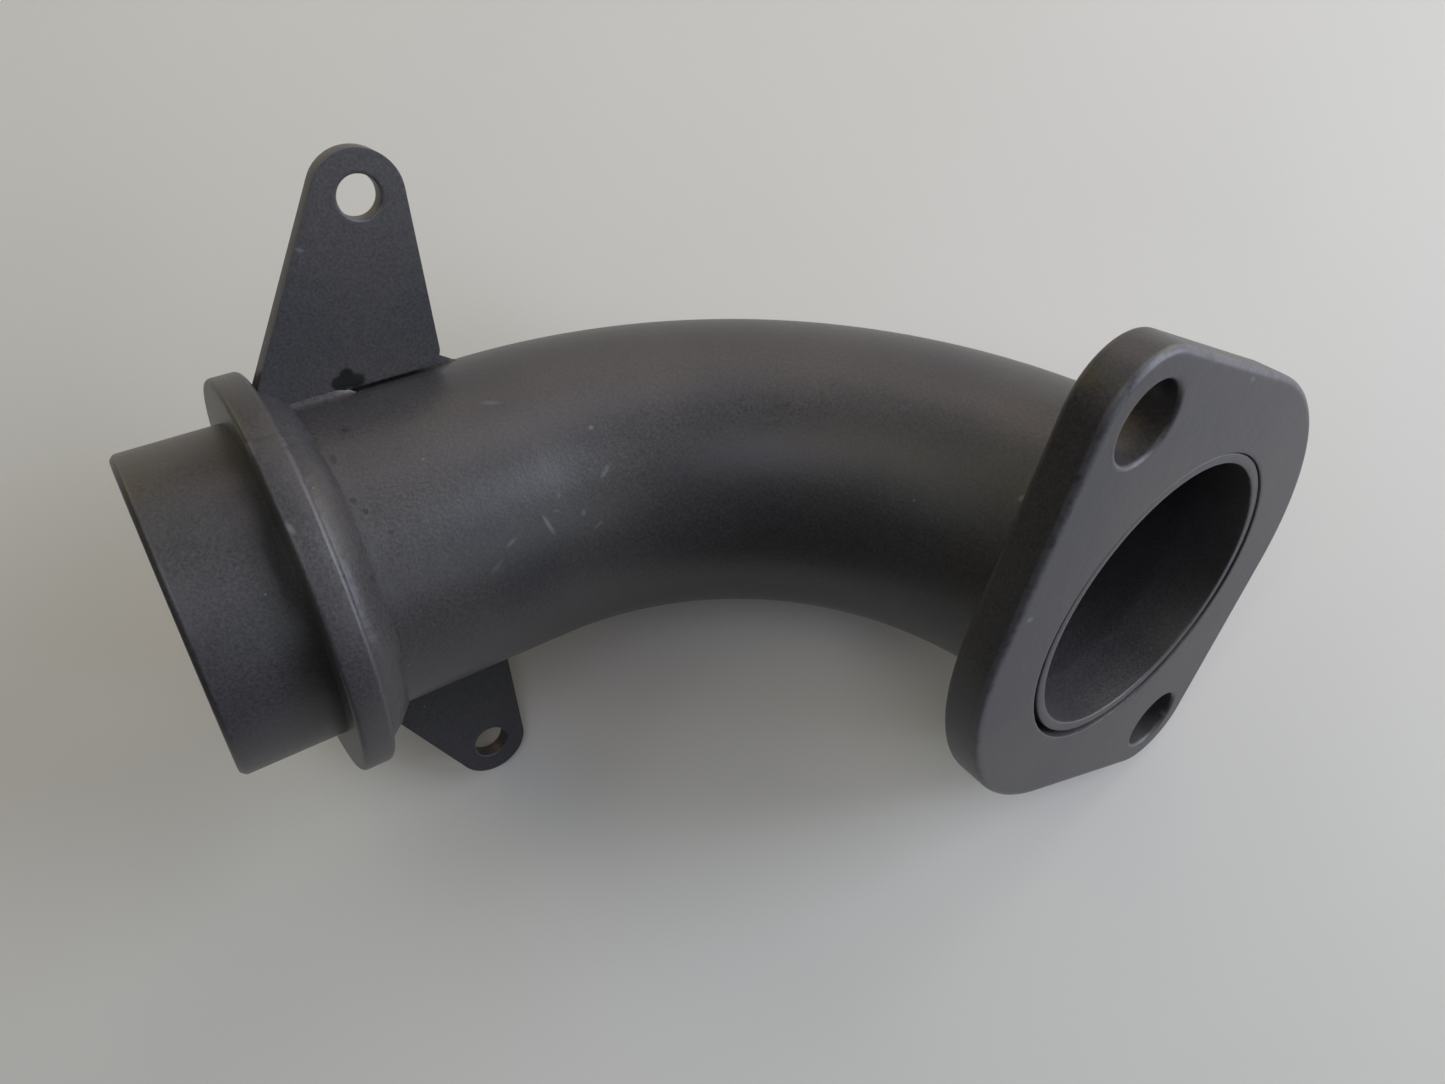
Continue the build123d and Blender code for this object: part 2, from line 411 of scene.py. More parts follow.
# Where this elbow is scratched on the upper side of its tube.
TUBE_SCRATCHES = (
    Stroke((-27.6, -2.8, 59.6), (-25.8, -6.0, 57.7), 0.94, 1.00),
    Stroke((-19.1, 3.0, 55.7), (-18.0, 5.4, 55.3), 1.12, 0.75),
    Stroke((-32.5, -8.1, 61.6), (-31.0, -6.4, 61.1), 0.75, 0.62),
    Stroke((-34.7, -12.2, 61.7), (-33.1, -9.9, 61.5), 0.88, 0.38),
    Stroke((-20.4, -4.8, 54.4), (-19.0, -3.3, 54.2), 0.62, 0.56),
    Stroke((-21.8, -2.6, 56.1), (-21.7, -2.0, 56.1), 1.00, 0.69),
    Stroke((-25.2, -0.2, 58.5), (-25.1, 0.4, 58.5), 0.75, 0.50),
    Stroke((-25.8, -2.3, 58.4), (-25.2, -2.2, 58.4), 0.62, 0.50),
    Stroke((-37.4, 14.4, 59.3), (-34.5, 14.5, 58.5), 1.12, 0.44),
    Stroke((-20.9, 11.0, 55.8), (-20.7, 11.1, 55.7), 1.00, 1.00),
    Stroke((44.1, -1.0, 61.4), (44.7, -0.7, 61.3), 1.12, 1.00),
)
COLLAR_NICKS = (Stroke((-56.4, -6.1, 83.2), (-55.4, -7.3, 83.0), 1.1, 0.9),)
# Gas holes left along the toe of the collar weld, really 0.3 to 0.8 mm across; the shade inside each is
# painted as a dark spot.
TOE_PINHOLES = (
    Stroke((-63.6, 12.6, 64.3), (-63.2, 12.7, 64.2), 0.9, 0.9),
    Stroke((-55.5, 9.0, 67.0), (-55.1, 9.0, 66.8), 0.9, 0.55),
    Stroke((-55.8, 4.6, 70.6), (-55.3, 3.8, 70.4), 1.1, 0.5),
    Stroke((-52.0, -1.8, 72.0), (-51.8, -2.0, 72.0), 0.9, 0.55),
    Stroke((-50.4, -3.3, 71.8), (-50.1, -3.6, 71.6), 0.8, 0.45),
    Stroke((-47.0, -6.2, 70.5), (-46.8, -6.4, 70.5), 0.8, 0.4),
)
# The crater where the short weld of the upper lug stops: three holes run together, their inner shade
# painted near-black.
LUG_CRATER = (
    Stroke((-59.4, 17.2, 60.1), (-58.4, 17.6, 59.7), 2.6, 1.0, 2.6),
    Stroke((-57.7, 17.8, 59.2), (-56.4, 18.4, 58.5), 2.4, 1.0, 2.6),
    Stroke((-58.3, 18.7, 60.4), (-57.6, 19.0, 60.0), 1.8, 1.0, 2.6),
)
# Chips of bare metal on the flange and the lugs.
FLANGE_CHIPS = (
    Stroke((73.1, 14.2, 73.0), (73.5, 14.3, 73.0), 0.9, 0.9),
    Stroke((41.5, -18.8, 75.3), (42.0, -18.6, 75.4), 1.0, 0.9),
    Stroke((84.0, -37.7, 7.5), (84.0, -37.3, 7.6), 1.3, 1.0),
)
LUG_CHIPS = (
    Stroke((-60.4, 34.0, 72.7), (-60.1, 34.0, 72.8), 0.8, 0.8),
    Stroke((-53.5, 40.0, 68.8), (-53.2, 40.1, 68.8), 0.8, 0.7),
)


# --- workshop ---------------------------------------------------------------


class Workpiece:
    """A mesh in millimetres on its way to being a finished piece."""

    def __init__(self) -> None:
        """Start an empty mesh with the layers that the finishes read."""
        self.bm: BMesh = bmesh.new()
        self.marks = {mark: self.bm.verts.layers.float.new(mark.value) for mark in Mark}

    def turned(
        self, profile: list[tuple[float, float]], arc: float = 360.0, start: float = 0.0, steps: int = 180
    ) -> None:
        """Spin a closed (x, radius) profile about X.

        Args:
            profile: corners of the section, in order.
            arc: how far it turns, in degrees.
            start: the angle from Y towards Z where it starts, in degrees.
            steps: how many parts the arc has.
        """
        turn = Matrix.Rotation(math.radians(start), 4, "X")
        verts = [self.bm.verts.new(turn @ Vector((x, r, 0))) for x, r in profile]
        edges = [self.bm.edges.new((a, b)) for a, b in zip(verts, verts[1:] + verts[:1])]
        full = arc >= 360
        bmesh.ops.spin(
            self.bm,
            geom=verts + edges,
            cent=(0, 0, 0),
            axis=(1, 0, 0),
            angle=math.radians(arc),
            steps=steps,
            use_merge=full,
        )
        if not full:
            bmesh.ops.holes_fill(self.bm, edges=self.bm.edges[:], sides=0)

    def tidy(self) -> None:
        """Merge doubles and turn every face outwards."""
        bmesh.ops.remove_doubles(self.bm, verts=self.bm.verts[:], dist=0.001)
        bmesh.ops.recalc_face_normals(self.bm, faces=self.bm.faces[:])

    def corners(self, angle: float) -> list[BMEdge]:
        """Edges where two faces meet at more than an angle in degrees."""
        limit = math.radians(angle)
        return [e for e in self.bm.edges if len(e.link_faces) == 2 and e.calc_face_angle() > limit]

    def ease(self, edges: list[BMEdge], radius: float, segments: int = 4, wear_and_highlight: float = 1.0) -> None:
        """Round edges off and mark them as worn, which also paints a highlight along them.

        Args:
            edges: the edges to round.
            radius: how far the rounding reaches along each face.
            segments: how many faces it has.
            wear_and_highlight: how worn the rounding is, and how strong its painted highlight is.
        """
        cut = bmesh.ops.bevel(
            self.bm,
            geom=edges,
            offset=radius,
            offset_type="OFFSET",
            segments=segments,
            profile=0.5,
            affect="EDGES",
            clamp_overlap=True,
            material=-1,
        )
        fresh = set(cut["faces"])
        for vert in {v for face in fresh for v in face.verts}:
            if all(face in fresh for face in vert.link_faces):
                vert[self.marks[Mark.WEAR_AND_HIGHLIGHT]] = wear_and_highlight

    def finish(
        self,
        name: str,
        material: Material,
        slot: Slot,
        nodes: tuple[str, ...],
        place: Matrix = LAID,
        sharp: float = 40.0,
    ) -> Object:
        """Turn the mesh into a finished object that rides on the elbow.

        Args:
            name: the piece's name.
            material: its finish.
            slot: the record's material slot; not used.
            nodes: the CAD nodes it stands for.
            place: from millimetres in the making to its place.
            sharp: edges steeper than this, in degrees, stay crisp.

        Returns:
            The object.
        """
        self.tidy()
        self.bm.transform(place)
        mesh = bpy.data.meshes.new(name)
        self.bm.to_mesh(mesh)
        self.bm.free()
        mesh.shade_smooth()
        mesh.set_sharp_from_angle(angle=math.radians(sharp))
        mesh.materials.append(material)
        piece = bpy.data.objects.new(name, mesh)
        bpy.context.scene.collection.objects.link(piece)
        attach(piece, "root")
        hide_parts(*nodes)
        LOG.info("%s: %d faces", name, len(mesh.polygons))
        return piece


class Outline:
    """A closed flat outline drawn from points and arcs."""

    def __init__(self, bm: BMesh) -> None:
        """Start an empty outline in a mesh."""
        self.bm = bm
        self.first: BMVert | None = None
        self.last: BMVert | None = None

    def _join(self, vert: BMVert) -> None:
        """Draw a line from the last point to a new one."""
        if self.last is None:
            self.first = vert
        else:
            self.bm.edges.new((self.last, vert))
        self.last = vert

    def point(self, x: float, y: float) -> None:
        """Draw a straight line to a point."""
        self._join(self.bm.verts.new((x, y, 0)))

    def arc(self, centre: Vector, start: Vector, sweep: float, steps: int) -> None:
        """Draw a line to the start of an arc, and then the arc.

        Args:
            centre: the arc's centre.
            start: where it starts.
            sweep: how far it turns, in radians.
            steps: how many parts it has.
        """
        self._join(self.bm.verts.new(start.to_3d()))
        spun = bmesh.ops.spin(
            self.bm,
            geom=[self.last],
            cent=centre.to_3d(),
            axis=(0, 0, 1),
            angle=sweep,
            steps=steps,
        )
        self.last = next(item for item in spun["geom_last"] if isinstance(item, BMVert))

    def close(self) -> None:
        """Draw the line back to the first point."""
        self.bm.edges.new((self.last, self.first))


class Plate(Workpiece):
    """A flat plate with round holes, face at Z = 0 and thickness towards -Z."""

    def hole(self, x: float, y: float, radius: float, segments: int) -> None:
        """Draw a round hole before the plate is filled."""
        place = Matrix.Translation((x, y, 0))
        bmesh.ops.create_circle(self.bm, cap_ends=False, segments=segments, radius=radius, matrix=place)

    def thicken(self, thickness: float) -> None:
        """Fill the outline round its holes and give the plate its thickness."""
        bmesh.ops.triangle_fill(self.bm, use_beauty=True, use_dissolve=False, edges=self.bm.edges[:])
        grown = bmesh.ops.extrude_face_region(self.bm, geom=self.bm.faces[:])
        fresh = [item for item in grown["geom"] if isinstance(item, BMVert)]
        bmesh.ops.translate(self.bm, verts=fresh, vec=(0, 0, -thickness))
        self.tidy()

    def flats(self) -> list[BMFace]:
        """The faces of both flat sides."""
        return [face for face in self.bm.faces if abs(face.normal.z) > 0.999]

    def support(self, width: float) -> None:
        """Frame both flat sides with a narrow strip, so that they shade flat."""
        bmesh.ops.inset_region(
            self.bm,
            faces=self.flats(),
            thickness=width,
            depth=0,
            use_boundary=True,
            use_even_offset=True,
        )


def ring_corners(piece: Workpiece, centre: Vector, radius: float, slack: float) -> list[BMEdge]:
    """Find the sharp rims of a round hole in a plate.

    Args:
        piece: the plate.
        centre: the hole's centre.
        radius: its radius.
        slack: how far a rim point may be from it.

    Returns:
        The rim edges on both flat sides.
    """
    found = []
    for edge in piece.corners(50):
        gaps = [abs((v.co.to_2d() - centre).length - radius) for v in edge.verts]
        if max(gaps) < slack:
            found.append(edge)
    return found


# --- pieces -----------------------------------------------------------------


@dataclass
class BentTube:
    """The mandrel-bent tube, with its spigot and flange end sized up a little."""

    radius: float = 25.4
    wall: float = 1.8
    bend_radius: float = 73.0
    bend_angle: float = 87.0
    spigot_reach: float = 55.5
    spigot_radius: float = 25.9
    spigot_bevel: float = 0.8
    collar_front: float = -39.5
    taper: float = 3.0
    flange_reach: float = 9.5
    flange_thick: float = 6.8
    flange_end_radius: float = 26.1
    flange_end_recess: float = 0.3
    facets: int = 160
    bend_steps: int = 80
    mouth_ease: float = 0.3
    mouth_wear: float = 0.25

    @property
    def bend_end(self) -> Matrix:
        """From the frame of the bend's start to that of its end."""
        pivot = Matrix.Translation((0, -self.bend_radius, 0))
        turn = Matrix.Rotation(math.radians(-self.bend_angle), 4, "Z")
        return pivot @ turn @ pivot.inverted()

    def build(self, material: Material) -> Object:
        """Draw the outside from mouth to mouth and come back along the bore.

        Args:
            material: the tube's finish.

        Returns:
            The finished tube.
        """
        work = Workpiece()
        start = Matrix.Translation((-self.spigot_reach, 0, 0)) @ Matrix.Rotation(math.radians(90), 4, "Y")
        mouth = self.spigot_radius - self.spigot_bevel
        bmesh.ops.create_circle(
            work.bm, cap_ends=False, segments=self.facets, radius=mouth, matrix=start
        )
        first = work.bm.edges[:]
        ring = first
        for x, radius in self._spigot_stations(0):
            ring = self._carry(work.bm, ring, x, radius, Matrix.Identity(4))
        ring = self._bend(work.bm, ring, -self.bend_angle)
        for x, radius in self._leg_stations(0):
            ring = self._carry(work.bm, ring, x, radius, self.bend_end)
        for x, radius in reversed(self._leg_stations(self.wall)):
            ring = self._carry(work.bm, ring, x, radius, self.bend_end)
        ring = self._carry(work.bm, ring, 0, self.radius - self.wall, self.bend_end)
        ring = self._bend(work.bm, ring, self.bend_angle)
        for x, radius in reversed(self._spigot_stations(self.wall)[1:-1]):
            ring = self._carry(work.bm, ring, x, radius, Matrix.Identity(4))
        bore = self.spigot_radius - self.wall
        ring = self._carry(work.bm, ring, -self.spigot_reach, bore, Matrix.Identity(4))
        bmesh.ops.bridge_loops(work.bm, edges=first + ring)
        work.tidy()
        work.ease(work.corners(30), self.mouth_ease, 3, self.mouth_wear)
        return work.finish("bent_tube", material, Slot.TUBE, ("elbow_tube",))

    def _spigot_stations(self, inset: float) -> list[tuple[float, float]]:
        """Stations along the spigot side, set in from its outside."""
        return [
            (-self.spigot_reach + self.spigot_bevel, self.spigot_radius - inset),
            (-47.0, self.spigot_radius - inset),
            (self.collar_front, self.spigot_radius - inset),
            (self.collar_front + self.taper, self.radius - inset),
            (-26.0, self.radius - inset),
            (-13.0, self.radius - inset),
            (0.0, self.radius - inset),
        ]

    def _leg_stations(self, inset: float) -> list[tuple[float, float]]:
        """Stations along the short flange side, set in from its outside."""
        return [
            (self.flange_reach - self.flange_thick, self.flange_end_radius - inset),
            (self.flange_reach - self.flange_end_recess, self.flange_end_radius - inset),
        ]

    def _carry(self, bm: BMesh, ring: list[BMEdge], x: float, radius: float, leg: Matrix) -> list[BMEdge]:
        """Extrude a ring on to the next station.

        Args:
            bm: the mesh.
            ring: the edges of the last ring.
            x: the station along the leg.
            radius: the radius there.
            leg: the frame of the straight leg.

        Returns:
            The edges of the new ring.
        """
        grown = bmesh.ops.extrude_edge_only(bm, edges=ring)
        fresh = {item for item in grown["geom"] if isinstance(item, BMVert)}
        back = leg.inverted()
        for vert in fresh:
            flat = back @ vert.co
            scale = radius / math.hypot(flat.y, flat.z)
            vert.co = leg @ Vector((x, flat.y * scale, flat.z * scale))
        edges = [item for item in grown["geom"] if isinstance(item, BMEdge)]
        return [edge for edge in edges if set(edge.verts) <= fresh]

    def _bend(self, bm: BMesh, ring: list[BMEdge], angle: float) -> list[BMEdge]:
        """Spin a ring round the bend.

        Args:
            bm: the mesh.
            ring: the edges of the last ring.
            angle: how far it turns about Z, in degrees.

        Returns:
            The edges of the last ring of the bend.
        """
        verts = list({vert for edge in ring for vert in edge.verts})
        spun = bmesh.ops.spin(
            bm,
            geom=verts + ring,
            cent=(0, -self.bend_radius, 0),
            axis=(0, 0, 1),
            angle=math.radians(angle),
            steps=self.bend_steps,
        )
        return [item for item in spun["geom_last"] if isinstance(item, BMEdge)]


@dataclass
class BoltFlange:
    """The oval two-bolt flange with its wide bore, and the weld behind it."""

    thick: float = 6.8
    bore_radius: float = 26.65
    belly_radius: float = 39.2
    bolt_circle: float = 44.8
    bolt_radius: float = 6.1
    end_radius: float = 10.6
    clocking: float = 114.6
    shift: float = 0.45
    shift_clock: float = 225.0
    edge: float = 1.1
    hole_edge: float = 0.7
    bore_edge: float = 0.25
    # The front rim's paler colour is worn paint and a painted highlight.
    rim_wear_and_highlight: float = 0.6
    hole_wear: float = 0.35
    bore_wear: float = 0.7
    # The back rim is hidden from rubbing and keeps this share of the paler colour.
    back_share: float = 0.3
    shading_strip: float = 0.35
    bead: float = 3.6
    bead_swell: float = 0.62

    def face_place(self, tube: BentTube) -> Matrix:
        """From the plate's flat frame to its place on the tube."""
        clock = math.radians(self.shift_clock)
        face = Matrix.Translation((tube.flange_reach, 0, 0))
        moved = Matrix.Translation((0, self.shift * math.cos(clock), self.shift * math.sin(clock)))
        stand = Matrix(((0, 0, 1, 0), (1, 0, 0, 0), (0, 1, 0, 0), (0, 0, 0, 1)))
        turn = Matrix.Rotation(math.radians(self.clocking), 4, "Z")
        return tube.bend_end @ face @ moved @ stand @ turn

    def build(self, tube: BentTube, material: Material) -> Object:
        """Cut, drill and ease the plate.

        Args:
            tube: the tube it stands on.
            material: the plate's finish.

        Returns:
            The finished flange.
        """
        plate = Plate()
        self._draw(plate)
        plate.hole(0, 0, self.bore_radius, 144)
        for side in (-1, 1):
            plate.hole(side * self.bolt_circle, 0, self.bolt_radius, 48)
        plate.thicken(self.thick)
        bore = ring_corners(plate, Vector((0, 0)), self.bore_radius, 0.05)
        plate.ease(bore, self.bore_edge, 2, self.bore_wear)
        for side in (-1, 1):
            rims = ring_corners(plate, Vector((side * self.bolt_circle, 0)), self.bolt_radius, 0.05)
            plate.ease(rims, self.hole_edge, 4, self.hole_wear)
        rim = [edge for edge in plate.corners(60) if min(self._reach(v.co) for v in edge.verts) > -0.2]
        plate.ease(rim, self.edge, 5, self.rim_wear_and_highlight)
        for vert in plate.bm.verts:
            if vert.co.z < -self.thick / 2:
                vert[plate.marks[Mark.WEAR_AND_HIGHLIGHT]] *= self.back_share
        plate.support(self.shading_strip)
        return plate.finish(
            "bolt_flange", material, Slot.FLANGE, ("flange_plate",), LAID @ self.face_place(tube)
        )

    def _draw(self, plate: Plate) -> None:
        """Draw the outline: belly and end arcs joined by tangents."""
        turn = math.acos((self.belly_radius - self.end_radius) / self.bolt_circle)
        outline = Outline(plate.bm)
        ends = ((self.bolt_circle, -turn), (-self.bolt_circle, math.pi - turn))
        for centre_x, start in ends:
            centre = Vector((centre_x, 0))
            outline.arc(centre, centre + polar(self.end_radius, start), 2 * turn, 20)
            outline.arc(Vector((0, 0)), polar(self.belly_radius, start + 2 * turn), math.pi - 2 * turn, 40)
        outline.close()

    def _reach(self, point: Vector) -> float:
        """How far a point is outside the outline, in millimetres; inside is negative."""
        x, y = abs(point.x), abs(point.y)
        turn = math.acos((self.belly_radius - self.end_radius) / self.bolt_circle)
        along = Vector((x, y)).dot(Vector((math.cos(turn), math.sin(turn)))) - self.belly_radius
        at_end = Vector((x - self.bolt_circle, y))
        if math.atan2(y, x) > turn:
            return math.hypot(x, y) - self.belly_radius
        if at_end.x > 0 and at_end.y < at_end.x * math.tan(turn):
            return at_end.length - self.end_radius
        return along

    def weld(self, tube: BentTube, material: Material) -> Object:
        """Run the fillet behind the plate.

        Args:
            tube: the tube it is run on.
            material: the weld's finish.

        Returns:
            The finished weld.
        """
        back = tube.flange_reach - self.thick
        bead = RoundBead(back, -1, tube.radius - 0.2, self.bead, self.bead_swell, seed=4.0)
        return bead.build("flange_weld", material, ("flange_fillet_weld",), LAID @ tube.bend_end)


def polar(radius: float, angle: float) -> Vector:
    """Flat point at a radius and an angle in radians."""
    return Vector((radius * math.cos(angle), radius * math.sin(angle)))


@dataclass
class RoundBead:
    """A fillet weld run right round the tube in the corner of a face."""

    corner: float
    direction: int
    radius: float
    leg: float
    swell: float
    seed: float
    steps: int = 320
    # Each ripple is one beat of the torch, about 1.6 mm of run.
    ripple_mm: float = 1.6
    ripple_depth: float = 0.07
    drift: float = 0.32

    def build(
        self, name: str, material: Material, nodes: tuple[str, ...], place: Matrix
    ) -> Object:
        """Spin the fillet and let it ripple and wander.

        Args:
            name: the weld's name.
            material: its finish.
            nodes: the CAD nodes it stands for.
            place: from millimetres to its place.

        Returns:
            The finished weld.
        """
        work = Workpiece()
        middle = self.swell * self.leg
        points = [(0.0, 0.0), (1.0, 0.0), (0.93, 0.27), (middle / self.leg, middle / self.leg)]
        points += [(0.27, 0.93), (0.0, 1.0)]
        profile = [
            (self.corner + self.direction * self.leg * u, self.radius + self.leg * v) for u, v in points
        ]
        work.turned(profile, steps=self.steps)
        for vert in work.bm.verts:
            self._ripple(work, vert)
        return work.finish(name, material, Slot.WELD, nodes, place, sharp=75)

    def _ripple(self, work: Workpiece, vert: BMVert) -> None:
        """Move one point of the bead in or out from its corner.

        Args:
            work: the bead's mesh.
            vert: the point to move.
        """
        across = Vector((vert.co.x - self.corner, math.hypot(vert.co.y, vert.co.z) - self.radius))
        if across.length < 0.05:
            return
        angle = math.atan2(vert.co.z, vert.co.y)
        run = angle * self.radius
        circle = Vector((math.cos(angle), math.sin(angle), 0))
        wander = noise.noise(circle * 3.1 + Vector((0, 0, self.seed)))
        beats = round(2 * math.pi * self.radius / self.ripple_mm)
        beat = 0.5 + 0.5 * math.cos(angle * beats + across.x * 1.1)
        grow = 1 + (self.drift * wander - self.ripple_depth * beat) / self.leg
        grow += 0.03 * noise.noise(Vector((run, across.x, across.y)) * 0.5 + Vector((self.seed, 0, 0)))
        outward = Vector((0, vert.co.y, vert.co.z)).normalized()
        rise = across.y * grow
        vert.co = Vector((self.corner + across.x * grow, 0, 0)) + outward * (self.radius + rise)
        low = 1 - min(1.0, across.y / (0.45 * self.leg))
        vert[work.marks[Mark.TOE]] = max(0.0, low)


@dataclass
class Collar:
    """The flat ring rolled round the tube, its butt seam and the weld behind it."""

    front: float = -39.5
    thick: float = 5.0
    bore: float = 25.9
    tube_radius: float = 25.4
    height: float = 6.8
    taper: float = 3.0
    edge: float = 0.85
    seam_angle: float = 108.0
    seam_gap: float = 2.4
    seam_proud: float = 0.12
    # A band of the back rim is paler: a painted highlight over worn paint.
    highlight_and_rub_angle: float = 138.0
    highlight_and_rub_reach: float = 34.0
    rub_least: float = 0.1
    highlight_and_rub_more: float = 0.5
    front_rub: float = 0.12
    seam_wear: float = 0.4
    bead: float = 4.8
    bead_swell: float = 0.62

    @property
    def back(self) -> float:
        """The X of the face towards the bend."""
        return self.front + self.thick

    @property
    def radius(self) -> float:
        """The outside radius."""
        return self.bore + self.height

    @property
    def gap_arc(self) -> float:
        """The arc of the seam gap in degrees."""
        return math.degrees(self.seam_gap / (self.bore + self.height / 2))

    def _section(self) -> list[tuple[float, float]]:
        """The ring's section as (x, radius) corners."""
        return [
            (self.front, self.bore),
            (self.front, self.radius),
            (self.back, self.radius),
            (self.back, self.tube_radius),
            (self.front + self.taper, self.tube_radius),
        ]

    def build(self, material: Material) -> Object:
        """Roll the ring and ease its rims.

        Args:
            material: the ring's finish.

        Returns:
            The finished ring.
        """
        work = Workpiece()
        work.turned(self._section(), 360 - self.gap_arc, self.seam_angle + self.gap_arc / 2, 240)
        work.tidy()
        work.ease(self._rims(work), self.edge, 5)
        for vert in work.bm.verts:
            self._rub_and_highlight(work, vert)
        return work.finish("collar", material, Slot.COLLAR, ("collar_ring",))

    def _rims(self, work: Workpiece) -> list[BMEdge]:
        """The two outer rims, without the short edges beside the seam."""
        return [
            edge
            for edge in work.corners(50)
            if all(math.hypot(v.co.y, v.co.z) > self.radius - 0.1 for v in edge.verts)
            and abs(edge.verts[0].co.x - edge.verts[1].co.x) < 0.1
        ]

    def _rub_and_highlight(self, work: Workpiece, vert: BMVert) -> None:
        """Keep the paler colour mostly on a band of the back rim on its upper side, where it is a painted
        highlight as well as worn paint.

        Args:
            work: the ring's mesh.
            vert: the point to weigh.
        """
        layer = work.marks[Mark.WEAR_AND_HIGHLIGHT]
        if vert[layer] == 0:
            return
        angle = math.degrees(math.atan2(vert.co.z, vert.co.y)) % 360
        off = abs((angle - self.highlight_and_rub_angle + 180) % 360 - 180)
        near = max(0.0, 1 - (off / self.highlight_and_rub_reach) ** 2)
        at_back = vert.co.x > self.front + self.thick / 2
        vert[layer] *= self.rub_least + self.highlight_and_rub_more * near if at_back else self.front_rub

    def seam(self, material: Material) -> Object:
        """Fill the gap of the ring with a low butt weld.

        Args:
            material: the weld's finish.

        Returns:
            The finished seam.
        """
        work = Workpiece()
        work.turned(self._section(), self.gap_arc, self.seam_angle - self.gap_arc / 2, 8)
        work.tidy()
        work.ease(self._rims(work), self.edge, 5, self.seam_wear)
        half = math.radians(self.gap_arc / 2)
        for vert in work.bm.verts:
            reach = math.hypot(vert.co.y, vert.co.z)
            if reach > self.radius - 0.5:
                off = math.atan2(vert.co.z, vert.co.y) - math.radians(self.seam_angle)
                crown = self.seam_proud * math.cos(min(1.0, abs(off) / half) * math.pi / 2)
                outward = Vector((0, vert.co.y, vert.co.z)).normalized()
                vert.co += outward * crown
        return work.finish("collar_seam", material, Slot.WELD, ("collar_seam_weld",), sharp=60)

    def weld(self, material: Material) -> Object:
        """Run the fillet behind the ring.

        Args:
            material: the weld's finish.

        Returns:
            The finished weld.
        """
        bead = RoundBead(self.back, 1, self.tube_radius - 0.2, self.bead, self.bead_swell, seed=1.0)
        return bead.build("collar_weld", material, ("collar_fillet_weld",), LAID)


